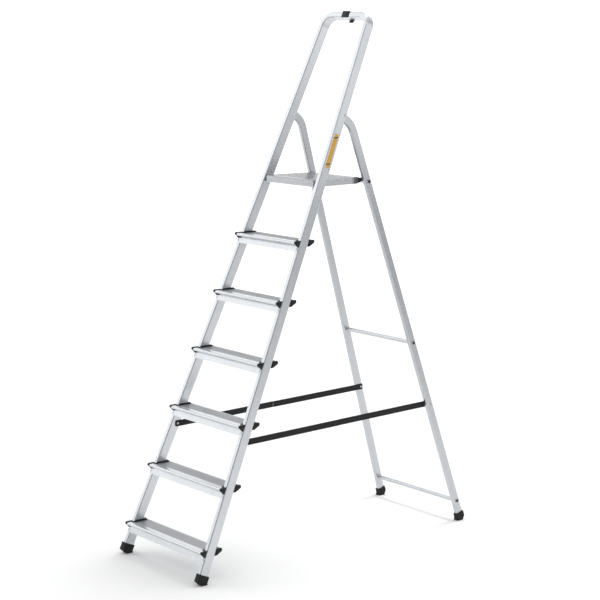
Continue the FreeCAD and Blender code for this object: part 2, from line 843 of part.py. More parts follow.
def make_rear_legs():
    """Bent rectangular tubes that hang on the pivot pins, with a welded eye in the top."""
    body = new_body("rear_leg_tube")
    bend = cell("neck_bend")
    turn = cell("neck_turn")
    middle = cell("pivot_cover") - leg_depth / 2
    straight_top = -cell("neck_drop")
    arc_y = middle - bend * (1 - cosine(turn))
    arc_z = straight_top + bend * sine(turn)
    end_y = arc_y - cell("neck_length") * sine(turn)
    end_z = arc_z + cell("neck_length") * cosine(turn)
    low = -leg_length()

    path = new_sketch(body, "YZ", "leg_path")
    draw(path, [(middle, low), (middle, straight_top), (arc_y, arc_z), (end_y, end_z)],
         {1: bend}, closed=False)
    section = new_sketch(body, "XY", "leg_section", low)
    wall = cell("leg_wall")
    corner = cell("leg_corner")
    draw_rounded(section, (-leg_width / 2, middle - leg_depth / 2),
                 (leg_width / 2, middle + leg_depth / 2), corner)
    draw_rounded(section, (wall - leg_width / 2, middle - leg_depth / 2 + wall),
                 (leg_width / 2 - wall, middle + leg_depth / 2 - wall), corner - wall)
    tube = body.newObject("PartDesign::AdditivePipe", "leg_tube")
    tube.Profile = section
    tube.Spine = (path, ["Edge1", "Edge2", "Edge3"])
    eye = new_sketch(body, "YZ", "eye_outline")
    draw_circle(eye, (0, 0), cell("eye_radius"))
    pad(body, "eye_pad", eye, leg_width - seat_gap, symmetric=True)
    body.Placement = leg_placement()
    leg = cut("rear_leg_right", body, leg_drills())
    keep(leg, mirrored(leg, "rear_leg_left"))


def make_brace(label, height):
    """Round cross tube through both legs, with its ends flared over their outer faces."""
    body = new_body(label)
    radius = cell("brace_radius") - seat_gap / 4
    bore = radius - cell("brace_wall")
    flare = cell("brace_flare")
    collar = cell("brace_collar")
    spot = brace_spot(height)
    outer = leg_middle_x(spot) + leg_width / 2 + flare * taper + seat_gap
    tube = new_sketch(body, "YZ", label + "_ring")
    draw_circle(tube, (0, 0), radius)
    draw_circle(tube, (0, 0), bore)
    pad(body, label + "_tube", tube, (outer + collar) * 2, symmetric=True)
    for name, side in SIDES:
        ring = new_sketch(body, "YZ", f"{label}_flare_{name}", outer * side)
        draw_circle(ring, (0, 0), flare)
        draw_circle(ring, (0, 0), bore)
        pad(body, f"{label}_collar_{name}", ring, collar, reverse=side < 0)
    body.Placement = FreeCAD.Placement(FreeCAD.Vector(0, spot[0].value, spot[1].value), FreeCAD.Rotation())
    keep(body)


# ---------------------------------------------------------------- platform

hinge_y, hinge_z = front_point(cell("hinge_in"), cell("hinge_up"))
platform_half = stile_inner(cell("hinge_up")) - cell("platform_gap")


def platform_side(depth):
    """Half width of the platform at a depth behind its hinge; it narrows like the stiles."""
    return platform_half - depth * taper


def platform_placement():
    return FreeCAD.Placement(FreeCAD.Vector(0, hinge_y.value, hinge_z.value), FreeCAD.Rotation())


def claw_centre():
    """The platform rod's middle, seen from the platform's hinge."""
    rod_y, rod_z = brace_spot(cell("rod_height"))
    return rod_y - hinge_y, rod_z - hinge_z


def corner_span():
    """Front and rear of the rear corner brackets, behind the hinge."""
    rear = claw_centre()[0] - cell("corner_gap")
    return rear - cell("corner_depth"), rear


def make_platform_deck():
    """Folded aluminium deck: front panel, grooved top and rear panel, narrowing backwards."""
    body = new_body("platform_deck")
    rise, drop = cell("platform_rise"), cell("platform_drop")
    lip = cell("platform_lip")
    skin = cell("platform_skin")
    rear = corner_span()[1]
    soft = skin * 2
    section = new_sketch(body, "YZ", "deck_section")
    draw(section, [
        (soft - lip, rise), (-lip, rise - soft), (-lip, -drop), (skin * 3 - lip, -drop),
        (skin * 3 - lip, skin - drop), (skin - lip, skin - drop), (skin - lip, rise - soft),
        (soft - lip, rise - skin), (rear - skin, rise - skin), (rear - skin, skin - drop),
        (rear - skin * 3, skin - drop), (rear - skin * 3, -drop), (rear, -drop), (rear, rise),
    ], {0: soft, 6: -(soft - skin)})
    width = platform_half + lip * taper
    pad(body, "deck_pad", section, width * 2, symmetric=True)

    start = lip
    groove = new_sketch(body, "YZ", "deck_groove")
    deep = rise - cell("deck_groove_depth")
    draw(groove, [(start, deep), (start + cell("deck_groove_width"), deep),
                  (start + cell("deck_groove_width"), rise + 1), (start, rise + 1)])
    cutter = pocket(body, "deck_groove_cut", groove, width * 3, symmetric=True)
    pattern = body.newObject("PartDesign::LinearPattern", "deck_grooves")
    pattern.Originals = [cutter]
    pattern.Direction = (groove, ["H_Axis"])
    pattern.setExpression("Length", (rear - start - cell("deck_groove_end")).text)
    pattern.Occurrences = DECK_GROOVE_COUNT
    body.Tip = pattern
    doc.recompute()

    panel = cell("side_panel") + seat_gap
    bracket = cell("bracket_width") + seat_gap * 2
    reach = cell("bracket_reach")
    corner_front = corner_span()[0] * cosine(side_taper) - bracket * sine(side_taper) - seat_gap
    trim = new_sketch(body, "XY", "deck_trim", -drop * 2)
    for _, side in SIDES:
        outline = [
            ((platform_side(-2 * lip) - bracket) * side, -2 * lip),
            ((platform_side(reach) - bracket) * side, reach),
            ((platform_side(reach) - panel) * side, reach),
            ((platform_side(corner_front) - panel) * side, corner_front),
            ((platform_side(corner_front) - bracket) * side, corner_front),
            ((platform_side(rear * 1.2) - bracket) * side, rear * 1.2),
            (width * 1.5 * side, rear * 1.2),
            (width * 1.5 * side, -2 * lip),
        ]
        draw(trim, outline)
    pocket(body, "deck_trim_cut", trim, drop * 6, reverse=True)
    body.Placement = platform_placement()
    keep(body)


def flat_on_side(body, name, outline, depth_outer, thick, bends=None):
    """Plate that follows the platform's slanted side, drawn in side view."""
    sketch = new_sketch(body, "YZ", name, depth_outer - thick)
    draw(sketch, outline, bends)
    pad(body, name + "_pad", sketch, thick)


def side_placement():
    """Axes turned to lie along the right side of the platform."""
    turn = FreeCAD.Rotation(FreeCAD.Vector(0, 0, 1), side_taper.value)
    spot = FreeCAD.Vector(platform_half.value, hinge_y.value, hinge_z.value)
    return FreeCAD.Placement(spot, turn)


def side_rivet_depths():
    """Distances of the two side rivets behind the hinge."""
    front = cell("bracket_reach") + cell("deck_rivet_front")
    return front, corner_span()[0] - cell("deck_rivet_rear")


def make_platform_sides():
    """Side panels, hinge brackets at the front and clawed brackets at the back."""
    rise, drop = cell("platform_rise"), cell("platform_drop")
    lip = cell("platform_lip")
    reach = cell("bracket_reach")
    corner_front, corner_rear = corner_span()
    gap = seat_gap * 2

    panel = new_body("platform_side_right")
    flat_on_side(panel, "side_outline", [
        (reach + gap, -drop), (corner_front - gap, -drop),
        (corner_front - gap, rise), (reach + gap, rise)], as_size(0), cell("side_panel"))
    holes = new_sketch(panel, "YZ", "side_rivet_holes")
    for depth in side_rivet_depths():
        draw_circle(holes, (depth, 0), cell("rivet_radius"))
    pocket(panel, "side_rivet_hole_cut", holes, cell("side_panel") * 3, symmetric=True)
    panel.Placement = side_placement()
    keep(panel, mirrored(panel, "platform_side_left"))

    plate = new_body("hinge_bracket_tube")
    round_front = (rise + drop) / 2
    middle = (rise - drop) / 2
    flat_on_side(plate, "bracket_outline", [
        (reach, rise), (round_front - lip, rise), (-lip, middle), (round_front - lip, -drop),
        (reach, -drop)], -seat_gap, cell("bracket_width") - seat_gap, {1: round_front, 2: round_front})
    plate.Placement = side_placement()
    drill = cross_cylinder("hinge_drill", cell("pin_radius") + cell("running_gap"),
                           cell("base_half"), (hinge_y, hinge_z))
    bracket = cut("hinge_bracket_right", plate, [drill])
    keep(bracket, mirrored(bracket, "hinge_bracket_left"))

    claw = new_body("rod_claw_right")
    rod_y, rod_z = claw_centre()
    rod_y = (rod_y + cell("bracket_width") / 2 * sine(side_taper)) / cosine(side_taper)
    inner = cell("brace_radius") + cell("claw_gap")
    outer = inner + cell("claw_thick")
    down = cell("claw_drop")
    lead_y = inner * cosine(cell("claw_lead_angle"))
    lead_z = inner * sine(cell("claw_lead_angle"))
    flat_on_side(claw, "claw_outline", [
        (corner_front, rise), (corner_front, -drop), (corner_rear, -drop),
        (corner_rear + outer / 2, rod_z - down),
        (rod_y - lead_y - cell("claw_mouth"), rod_z - down),
        (rod_y - lead_y, rod_z + lead_z), (rod_y, rod_z + inner), (rod_y + inner, rod_z),
        (rod_y + inner, rod_z - down / 2), (rod_y + outer, rod_z - down / 2), (rod_y + outer, rod_z),
        (rod_y, rod_z + outer), (corner_rear + outer, rod_z + outer), (corner_rear, rise)],
        -seat_gap, cell("bracket_width") - seat_gap, {5: -inner, 6: -inner, 10: outer})
    claw.Placement = side_placement()
    keep(claw, mirrored(claw, "rod_claw_left"))


def make_platform_rivets():
    """Rivets through the side panels into the deck's edge."""
    pieces = []
    for index, depth in enumerate(side_rivet_depths()):
        body = make_rivet(f"platform_rivet_{index}", cell("rivet_radius"),
                          cell("side_panel"), cell("rivet_head"), cell("rivet_rise"))
        turn = FreeCAD.Rotation(FreeCAD.Vector(0, 1, 0), 90)
        spot = FreeCAD.Vector(0, depth.value, 0)
        body.Placement = side_placement().multiply(FreeCAD.Placement(spot, turn))
        pieces += [body, mirrored(body, f"platform_rivet_{index}_left")]
    keep(group("platform_rivets", pieces))


def make_hinge_pins():
    """Pins that the platform tilts on, pressed into the stiles' inner webs."""
    pieces = []
    for name, side in SIDES:
        pin = doc.addObject("Part::Cylinder", f"hinge_pin_{name}")
        pin.setExpression("Radius", cell("pin_radius").text)
        length = cell("bracket_width") + cell("platform_gap") + stile_wall
        pin.setExpression("Height", length.text)
        start = (platform_half - cell("bracket_width")) * side
        turn = FreeCAD.Rotation(FreeCAD.Vector(0, 1, 0), 90 * side)
        pin.Placement = FreeCAD.Placement(FreeCAD.Vector(start.value, hinge_y.value, hinge_z.value), turn)
        pieces.append(pin)
    keep(group("platform_hinge_pins", pieces))


# ---------------------------------------------------------------- spreader straps

strap_front = front_point(cell("strap_front_in"), cell("strap_front_up"))
strap_height = cell("strap_rear_height")
strap_rear = (leg_rear_y(strap_height) - cell("strap_rear_in") / sine(leg_angle), strap_height)


def strap_seats():
    """Outer faces of the front and rear strap halves, beside the stile and the leg."""
    thick = cell("strap_thick")
    top = (strap_rear[0], strap_height + cell("strap_width"))
    rear = leg_middle_x(top) - leg_width / 2 - 2 * cell("strap_gap")
    front = rear + thick + cell("strap_gap")
    return front, rear


def make_straps():
    """Each webbing strap in two halves that meet in the middle when it is taut."""
    run = strap_rear[0].value - strap_front[0].value
    climb = strap_rear[1].value - strap_front[1].value
    half = math.hypot(run, climb) / 2
    pitch = math.degrees(math.atan2(climb, run))
    front_x, rear_x = strap_seats()
    lap = cell("strap_lap")
    wide = cell("strap_width") / 2
    for label, seat, start, way in (("strap_front_right", front_x, strap_front, 1),
                                    ("strap_rear_right", rear_x, strap_rear, -1)):
        body = new_body(label + "_web")
        outline = new_sketch(body, "YZ", label + "_outline")
        draw(outline, [(-lap * way, -wide * way), (half * way, -wide * way),
                       (half * way, wide * way), (-lap * way, wide * way)])
        pad(body, label + "_pad", outline, cell("strap_thick"), reverse=True)
        turn = FreeCAD.Rotation(FreeCAD.Vector(1, 0, 0), pitch)
        spot = FreeCAD.Vector(seat.value, start[0].value, start[1].value)
        body.Placement = FreeCAD.Placement(spot, turn)
        drill = cross_cylinder(label + "_drill", cell("rivet_radius") + cell("running_gap"),
                               cell("base_half"), start)
        strap = cut(label, body, [drill])
        keep(strap, mirrored(strap, label.replace("right", "left")))


def make_strap_rivets():
    """Rivets that hold the strap ends, heads on the inside of the frame."""
    thick = cell("strap_thick")
    front_x, rear_x = strap_seats()
    stile_face = stile_inner(cell("strap_front_up")) + stile_wall
    leg_face = leg_middle_x(strap_rear) - leg_width / 2 + cell("leg_wall")
    for label, seat, face, spot in (("strap_rivets_front", front_x, stile_face, strap_front),
                                    ("strap_rivets_rear", rear_x, leg_face, strap_rear)):
        inside = seat - thick - seat_gap
        grip = face - inside
        pieces = []
        for name, side in SIDES:
            pieces.append(rivet_along_x(f"{label}_{name}", (inside * side, spot[0], spot[1]), -side,
                                        cell("rivet_radius"), grip, cell("rivet_head"),
                                        cell("rivet_rise")))
        keep(group(label, pieces))


# ---------------------------------------------------------------- hook and label

def make_bucket_hook():
    """Moulded saddle clipped over the hoop, with a hook tab behind it."""
    body = new_body("bucket_hook")
    thick = cell("hook_thick")
    gap = seat_gap
    top = cell("frame_length")
    low = top - stile_width
    back = stile_depth
    drop = cell("hook_drop")
    width = cell("hook_width")
    saddle = new_sketch(body, "YZ", "saddle_outline")
    draw(saddle, [(-thick, low - thick * 2), (-thick, top + thick), (back + thick, top + thick),
                  (back + thick, low), (back + gap, low), (back + gap, top + gap), (-gap, top + gap),
                  (-gap, low - gap), (thick, low - gap), (thick, low - thick)])
    pad(body, "saddle_pad", saddle, width, symmetric=True)
    tab = new_sketch(body, "YZ", "tab_outline")
    draw(tab, [(back + thick, low + thick), (back + gap, low + thick), (back + gap, low - drop + thick),
               (back - drop / 2, low - drop + thick), (back - drop / 2, low - drop),
               (back + thick, low - drop)])
    pad(body, "tab_pad", tab, cell("hook_tab_width"), symmetric=True)
    body.Placement = front_placement()
    keep(body)


def make_label():
    """Plain rating plate stuck on the right stile's outer face."""
    plate = doc.addObject("Part::Box", "side_label")
    plate.Label = "side_label"
    plate.setExpression("Length", cell("label_thick").text)
    plate.setExpression("Width", cell("label_width").text)
    plate.setExpression("Height", cell("label_length").text)
    start = cell("label_up") - cell("label_length") / 2
    corner = (stile_outer(start) + seat_gap / 4, (stile_depth - cell("label_width")) / 2, start)
    plate.Placement = front_placement(-side_taper.value, corner)
    keep(plate)


# ---------------------------------------------------------------- build and write

make_front_tube()
for tread_number in range(1, TREAD_COUNT + 1):
    make_tread(tread_number)
    make_cap(tread_number)
make_tread_rivets()
make_pivot_pins()
make_front_foot()
make_rear_legs()
make_rear_foot()
make_brace("platform_rod", cell("rod_height"))
make_brace("upper_brace", cell("upper_brace_height"))
make_brace("lower_brace", cell("lower_brace_height"))
make_platform_deck()
make_platform_sides()
make_platform_rivets()
make_hinge_pins()
make_straps()
make_strap_rivets()
make_bucket_hook()
make_label()
doc.recompute()

for item in doc.Objects:
    if "Invalid" in item.State or "Error" in item.State:
        raise RuntimeError(f"{item.Label} is in state {item.State}")
for item in NODES:
    if item.Shape.isNull() or not item.Shape.isValid():
        raise RuntimeError(f"{item.Label} has no valid shape")

os.makedirs("parts", exist_ok=True)
for item in NODES:
    item.Shape.exportStep(f"parts/{item.Label}.step")
    box = item.Shape.BoundBox
    print(f"{item.Label}: {len(item.Shape.Solids)} solid(s), "
          f"x {box.XMin:.1f}..{box.XMax:.1f} y {box.YMin:.1f}..{box.YMax:.1f} z {box.ZMin:.1f}..{box.ZMax:.1f}")
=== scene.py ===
import json
import math

import bmesh
import bpy
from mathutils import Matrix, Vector


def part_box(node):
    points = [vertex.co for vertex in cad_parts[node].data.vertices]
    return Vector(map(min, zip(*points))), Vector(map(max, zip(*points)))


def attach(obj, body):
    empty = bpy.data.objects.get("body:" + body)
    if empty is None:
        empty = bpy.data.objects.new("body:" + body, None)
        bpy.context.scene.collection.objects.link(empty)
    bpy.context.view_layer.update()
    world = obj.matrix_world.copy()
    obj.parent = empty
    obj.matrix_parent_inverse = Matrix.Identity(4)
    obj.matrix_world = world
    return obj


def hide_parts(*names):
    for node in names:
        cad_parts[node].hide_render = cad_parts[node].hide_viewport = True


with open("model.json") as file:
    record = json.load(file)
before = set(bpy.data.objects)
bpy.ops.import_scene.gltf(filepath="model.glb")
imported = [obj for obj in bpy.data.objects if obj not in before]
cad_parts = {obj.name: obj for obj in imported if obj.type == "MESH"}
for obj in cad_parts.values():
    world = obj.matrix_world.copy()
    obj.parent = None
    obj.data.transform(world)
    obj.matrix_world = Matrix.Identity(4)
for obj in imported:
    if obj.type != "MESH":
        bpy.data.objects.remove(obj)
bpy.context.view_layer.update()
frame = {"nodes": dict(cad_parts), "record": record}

# Looks of a folding step ladder. Metres, in the frame of the CAD model: +X is the
# climber's right, +Y runs from the treads to the rear legs, +Z is up.

NODES = frame["nodes"]
JOINTS = {joint["name"]: joint for joint in frame["record"]["behaviour"]["joints"]}
STILE_LEAN = math.radians(90 - 65.907)
LEG_LEAN = math.radians(90 - 72.217)
STILE_FOOT_Y = -0.70266  # where the stiles' front faces meet the floor
RIB_START = 0.003  # from the stiles' front faces back to the ribs of a tread
TREAD_COUNT = 6
SIDES = ("right", "left")


# ---------------------------------------------------------------- material helpers

def new_material(name):
    """Material with an empty tree that holds a Principled shader and the output."""
    material = bpy.data.materials.new(name)
    material.use_nodes = True
    tree = material.node_tree
    tree.nodes.clear()
    output = tree.nodes.new("ShaderNodeOutputMaterial")
    shader = tree.nodes.new("ShaderNodeBsdfPrincipled")
    tree.links.new(shader.outputs["BSDF"], output.inputs["Surface"])
    return material, tree, shader


def add(tree, kind, **settings):
    """New node; a setting is one of its own properties or an input socket's value."""
    node = tree.nodes.new(kind)
    for name, value in settings.items():
        if hasattr(node, name):
            setattr(node, name, value)
        else:
            node.inputs[name.replace("_", " ")].default_value = value
    return node


def coordinates(tree, scale=(1, 1, 1), turn=(0, 0, 0)):
    """Object coordinates, stretched and turned."""
    source = add(tree, "ShaderNodeTexCoord")
    mapping = add(tree, "ShaderNodeMapping")
    mapping.inputs["Scale"].default_value = scale
    mapping.inputs["Rotation"].default_value = turn
    tree.links.new(source.outputs["Object"], mapping.inputs["Vector"])
    return mapping.outputs["Vector"]


def noise(tree, vector, scale, detail=3.0, roughness=0.5):
    node = add(tree, "ShaderNodeTexNoise", Scale=scale, Detail=detail, Roughness=roughness)
    tree.links.new(vector, node.inputs["Vector"])
    return node.outputs["Fac"]


def ramp(tree, factor, stops):
    """Colour ramp through (position, colour) stops; a plain number is a grey."""
    node = add(tree, "ShaderNodeValToRGB")
    elements = node.color_ramp.elements
    while len(elements) < len(stops):
        elements.new(0.5)
    for element, (position, colour) in zip(elements, stops):
        element.position = position
        if not isinstance(colour, tuple):
            colour = (colour, colour, colour)
        element.color = (*colour, 1)
    tree.links.new(factor, node.inputs["Fac"])
    return node.outputs["Color"]


def math_node(tree, operation, first, second=None, third=None):
    node = add(tree, "ShaderNodeMath", operation=operation)
    for socket, value in zip(node.inputs, (first, second, third)):
        if value is None:
            continue
        if isinstance(value, (int, float)):
            socket.default_value = value
        else:
            tree.links.new(value, socket)
    return node.outputs["Value"]


def mix_colour(tree, factor, first, second, mode="MIX"):
    node = add(tree, "ShaderNodeMix", data_type="RGBA", blend_type=mode)
    sockets = [node.inputs[0], node.inputs[6], node.inputs[7]]
    for socket, value in zip(sockets, (factor, first, second)):
        if isinstance(value, tuple):
            socket.default_value = (*value, 1)
        elif isinstance(value, (int, float)):
            socket.default_value = value
        else:
            tree.links.new(value, socket)
    return node.outputs[2]


def bump(tree, shader, height, strength, distance):
    node = add(tree, "ShaderNodeBump", Strength=strength, Distance=distance)
    tree.links.new(height, node.inputs["Height"])
    tree.links.new(node.outputs["Normal"], shader.inputs["Normal"])


# ---------------------------------------------------------------- materials

def extruded_aluminium(name, turn, tint=1.0, roughness=0.26):
    """Satin extrusion: fine die lines, faint handling marks and cloudy oxide."""
    material, tree, shader = new_material(name)
    lines = noise(tree, coordinates(tree, (900, 900, 3), turn), 1.0, 4.0, 0.6)
    clouds = noise(tree, coordinates(tree, (9, 9, 5), turn), 1.0, 3.0)
    marks = noise(tree, coordinates(tree, (70, 420, 60), turn), 1.0, 2.0)
    base = ramp(tree, lines, [(0.25, (0.64 * tint, 0.655 * tint, 0.67 * tint)),
                              (0.75, (0.68 * tint, 0.695 * tint, 0.71 * tint))])
    tone = ramp(tree, clouds, [(0.35, (0.965, 0.97, 0.98)), (0.7, (1.0, 1.0, 1.0))])
    tree.links.new(mix_colour(tree, 1.0, base, tone, "MULTIPLY"), shader.inputs["Base Color"])
    shader.inputs["Metallic"].default_value = 0.85
    rough = ramp(tree, marks, [(0.3, roughness - 0.03), (0.62, roughness), (0.8, roughness + 0.05)])
    tree.links.new(rough, shader.inputs["Roughness"])
    bump(tree, shader, lines, 0.04, 0.0001)
    return material


def moulded_plastic(name, low, high, roughness=0.46, grain=1400):
    """Moulded plastic with a fine spark-eroded grain and slight scuffing."""
    material, tree, shader = new_material(name)
    fine = noise(tree, coordinates(tree), grain, 3.0, 0.6)
    scuff = noise(tree, coordinates(tree), 55, 5.0, 0.65)
    tree.links.new(ramp(tree, scuff, [(0.35, low), (0.75, high)]), shader.inputs["Base Color"])
    rough = ramp(tree, scuff, [(0.3, roughness - 0.08), (0.7, roughness + 0.1)])
    tree.links.new(rough, shader.inputs["Roughness"])
    bump(tree, shader, fine, 0.35, 0.00015)
    shader.inputs["Specular IOR Level"].default_value = 0.35
    return material


TOOTH_PITCH = 0.006
WAVE_BASE = 20  # phase that a wave texture of scale 1 gains over one metre


def tread_aluminium(name):
    """Extrusion with a plain nose and a duller, cross-serrated standing area behind it, whose darker grey
    and dark tooth lines are painted groove shade.
    """
    material, tree, shader = new_material(name)
    vector = coordinates(tree)
    lines = noise(tree, coordinates(tree, (3, 900, 900)), 1.0, 4.0, 0.6)
    clouds = noise(tree, vector, 9, 3.0)
    split = add(tree, "ShaderNodeSeparateXYZ")
    tree.links.new(vector, split.inputs[0])
    shear = math_node(tree, "MULTIPLY", split.outputs["Z"], -math.tan(STILE_LEAN))
    depth = math_node(tree, "ADD", split.outputs["Y"], shear)
    inside = math_node(tree, "GREATER_THAN", depth, RIB_START + STILE_FOOT_Y)
    plain = ramp(tree, lines, [(0.25, (0.66, 0.675, 0.69)), (0.75, (0.70, 0.715, 0.73))])
    # the standing area's darker grey is painted shade of its ribs' grooves
    ribs_painted_shade = ramp(tree, lines, [(0.25, (0.52, 0.535, 0.55)), (0.75, (0.58, 0.59, 0.60))])
    tone = ramp(tree, clouds, [(0.35, (0.95, 0.955, 0.965)), (0.7, (1.0, 1.0, 1.0))])
    teeth = add(tree, "ShaderNodeTexWave", wave_type="BANDS", bands_direction="X",
                Scale=2 * math.pi / (WAVE_BASE * TOOTH_PITCH))
    tree.links.new(vector, teeth.inputs["Vector"])
    # dark bands along the teeth: painted shade in the serration grooves; the same mask also gives the
    # bump
    tooth_relief_and_painted_shade = math_node(tree, "MULTIPLY", teeth.outputs["Fac"], inside)
    ribs_with_painted_groove_shade = mix_colour(tree, 1.0, ribs_painted_shade, ramp(tree, tooth_relief_and_painted_shade, [(0.3, 1.0), (0.7, 0.78)]), "MULTIPLY")
    both = mix_colour(tree, inside, plain, ribs_with_painted_groove_shade)
    tree.links.new(mix_colour(tree, 1.0, both, tone, "MULTIPLY"), shader.inputs["Base Color"])
    shader.inputs["Metallic"].default_value = 0.82
    rough = ramp(tree, inside, [(0.0, 0.24), (1.0, 0.36)])
    tree.links.new(rough, shader.inputs["Roughness"])
    bump(tree, shader, math_node(tree, "ADD", tooth_relief_and_painted_shade, math_node(tree, "MULTIPLY", lines, 0.2)), 0.3, 0.0004)
    return material


def bracket_plastic(name):
    """Grey corner moulding with a paler collar in front and a near-black hook behind."""
    material, tree, shader = new_material(name)
    vector = coordinates(tree)
    low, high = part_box("rod_claw_right")
    split = add(tree, "ShaderNodeSeparateXYZ")
    tree.links.new(vector, split.inputs[0])
    span = high[1] - low[1]
    along = math_node(tree, "DIVIDE", math_node(tree, "SUBTRACT", split.outputs["Y"], low[1]), span)
    zones = ramp(tree, along, [(0.0, (0.42, 0.435, 0.45)), (0.13, (0.42, 0.435, 0.45)),
                               (0.14, (0.06, 0.063, 0.066)), (0.17, (0.15, 0.158, 0.165)),
                               (0.40, (0.11, 0.116, 0.122)), (0.44, (0.008, 0.008, 0.009))])
    scuff = noise(tree, vector, 60, 4.0, 0.6)
    tone = ramp(tree, scuff, [(0.3, 0.82), (0.75, 1.0)])
    tree.links.new(mix_colour(tree, 1.0, zones, tone, "MULTIPLY"), shader.inputs["Base Color"])
    tree.links.new(ramp(tree, scuff, [(0.3, 0.36), (0.7, 0.5)]), shader.inputs["Roughness"])
    bump(tree, shader, noise(tree, vector, 1400, 3.0), 0.3, 0.00015)
    return material


BAR_AWAY = 0.050  # height of each dark bar from the plate's middle
BAR_HALF = 0.0022


def plate_finish(name):
    """Plain gold plate with a dark bar near each end."""
    material, tree, shader = new_material(name)
    vector = coordinates(tree)
    low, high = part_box("side_label")
    split = add(tree, "ShaderNodeSeparateXYZ")
    tree.links.new(vector, split.inputs[0])
    middle = (low[2] + high[2]) / 2
    height = math_node(tree, "SUBTRACT", split.outputs["Z"], middle)
    away = math_node(tree, "ABSOLUTE", height)
    bar = math_node(tree, "COMPARE", away, BAR_AWAY, BAR_HALF)
    grain = noise(tree, vector, 700, 3.0)
    gold = ramp(tree, grain, [(0.3, (0.66, 0.36, 0.035)), (0.7, (0.76, 0.44, 0.06))])
    tree.links.new(mix_colour(tree, bar, gold, (0.02, 0.018, 0.015)), shader.inputs["Base Color"])
    tree.links.new(ramp(tree, grain, [(0.3, 0.3), (0.7, 0.42)]), shader.inputs["Roughness"])
    bump(tree, shader, grain, 0.1, 0.0001)
    return material


def woven_webbing(name):
    """Black polyester webbing: fine slanting yarns with a little fuzz."""
    material, tree, shader = new_material(name)
    vector = coordinates(tree)
    yarns = add(tree, "ShaderNodeTexWave", wave_type="BANDS", bands_direction="DIAGONAL",
                Scale=130, Distortion=0.6)
    tree.links.new(vector, yarns.inputs["Vector"])
    fuzz = noise(tree, vector, 900, 4.0, 0.7)
    weave = mix_colour(tree, 0.4, yarns.outputs["Color"], fuzz)
    colour = ramp(tree, weave, [(0.2, (0.006, 0.006, 0.007)), (0.8, (0.032, 0.033, 0.035))])
    tree.links.new(colour, shader.inputs["Base Color"])
    tree.links.new(ramp(tree, fuzz, [(0.3, 0.72), (0.7, 0.9)]), shader.inputs["Roughness"])
    shader.inputs["Sheen Weight"].default_value = 0.08
    shader.inputs["Specular IOR Level"].default_value = 0.25
    bump(tree, shader, weave, 0.5, 0.0004)
    return material


def rivet_metal(name):
    """Drawn rivet heads: bright metal with dull spots."""
    material, tree, shader = new_material(name)
    fine = noise(tree, coordinates(tree), 600, 3.0)
    tree.links.new(ramp(tree, fine, [(0.3, (0.50, 0.51, 0.52)), (0.7, (0.72, 0.73, 0.74))]),
                   shader.inputs["Base Color"])
    shader.inputs["Metallic"].default_value = 0.9
    tree.links.new(ramp(tree, fine, [(0.3, 0.28), (0.7, 0.42)]), shader.inputs["Roughness"])
    bump(tree, shader, fine, 0.2, 0.0001)
    return material


def paint(node, material):
    """Give a CAD node one material in all its slots."""
    mesh = NODES[node].data
    if not mesh.materials:
        mesh.materials.append(material)
    for index in range(len(mesh.materials)):
        mesh.materials[index] = material


STILE_METAL = extruded_aluminium("stile_aluminium", (STILE_LEAN, 0, 0))
# the legs' copy of the extrusion is darkened to 0.87 as painted shade
LEG_METAL = extruded_aluminium("leg_aluminium", (-LEG_LEAN, 0, 0), 0.87)
CROSS_METAL = extruded_aluminium("cross_aluminium", (0, math.radians(90), 0), 0.92)
DECK_METAL = extruded_aluminium("deck_aluminium", (0, math.radians(90), 0), 0.62)
TREAD_METAL = tread_aluminium("tread_aluminium")
BLACK_PLASTIC = moulded_plastic("black_plastic", (0.004, 0.004, 0.005), (0.012, 0.012, 0.013))
BLACK_RUBBER = moulded_plastic("black_rubber", (0.006, 0.006, 0.006), (0.018, 0.018, 0.019), 0.66, 900)
GREY_PLASTIC = moulded_plastic("grey_plastic", (0.13, 0.14, 0.15), (0.22, 0.23, 0.24), 0.40)
CLAW_PLASTIC = bracket_plastic("claw_plastic")
RIVET = rivet_metal("rivet_metal")
WEBBING = woven_webbing("webbing")
PLATE = plate_finish("label_plate")


def paint_frame():
    """Every CAD node gets its material; what is left at the end are the cross tubes."""
    for node in NODES:
        if node == "front_frame_tube":
            paint(node, STILE_METAL)
        elif node.startswith("rear_leg"):
            paint(node, LEG_METAL)
        elif "cap" in node or node == "bucket_hook":
            paint(node, BLACK_PLASTIC)
        elif "foot" in node:
            paint(node, BLACK_RUBBER)
        elif node == "platform_deck":
            paint(node, DECK_METAL)
        elif "claw" in node:
            paint(node, CLAW_PLASTIC)
        elif "bracket" in node:
            paint(node, GREY_PLASTIC)
        elif "rivets" in node or "pins" in node:
            paint(node, RIVET)
        elif node.startswith("strap"):
            paint(node, WEBBING)
        elif node == "side_label":
            paint(node, PLATE)
        elif node.startswith("tread"):
            paint(node, TREAD_METAL)
        else:
            paint(node, CROSS_METAL)


# ---------------------------------------------------------------- softened mouldings

# what is moulded on each side: rounding of its edges, body, slot and material
MOULDINGS = {"front_foot": (0.0035, "front_frame", "black_rubber", BLACK_RUBBER),
             "rear_foot": (0.0045, "rear_frame", "black_rubber", BLACK_RUBBER),
             "rod_claw": (0.0010, "platform", "grey_plastic", CLAW_PLASTIC),
             "hinge_bracket": (0.0012, "platform", "grey_plastic", GREY_PLASTIC)}
CAP_ROUNDING = 0.0008
HOOK_ROUNDING = 0.0006
SHARP_EDGE = math.radians(30)
WELD_DISTANCE = 1e-6
FLAT_ENOUGH = math.radians(1)


